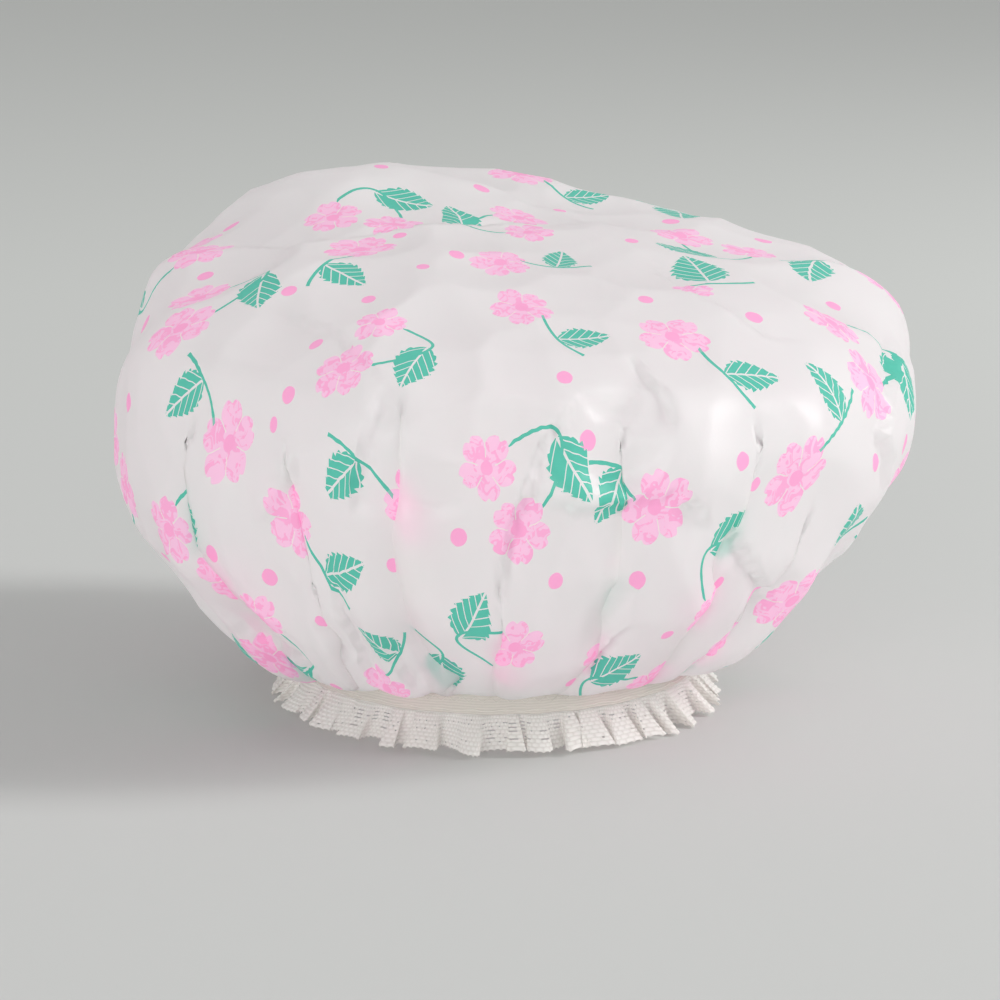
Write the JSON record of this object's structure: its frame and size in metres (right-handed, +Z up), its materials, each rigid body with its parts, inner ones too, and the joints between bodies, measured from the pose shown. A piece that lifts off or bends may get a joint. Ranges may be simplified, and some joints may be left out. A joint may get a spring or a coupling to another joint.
{
  "type": "shower cap",
  "caption": "Puffed round shower cap of frosted film, gathered on a woven elastic band with a ruffled lace frill below it.",
  "frame": {"origin": "middle of the whole cap's box, on the floor that the frill's edge stands on", "axes": "+Z up from the mouth to the crown, front towards -Y, the cap's right side as seen from the front towards +X"},
  "size_m": [0.2342, 0.223, 0.155],
  "materials": {
    "film": "frosted soft film, semi-gloss, printed with pink and green motifs",
    "elastic": "ivory woven elastic, finely ribbed",
    "lace": "white knitted lace",
    "thread": "white sewing thread"
  },
  "bodies": {
    "root": {"crown_film": "film", "elastic_band": "elastic", "lace_frill": "lace", "film_zigzag_stitches": "thread", "lace_chain_stitches": "thread", "lap_bar_tack": "thread"}
  },
  "joints": []
}
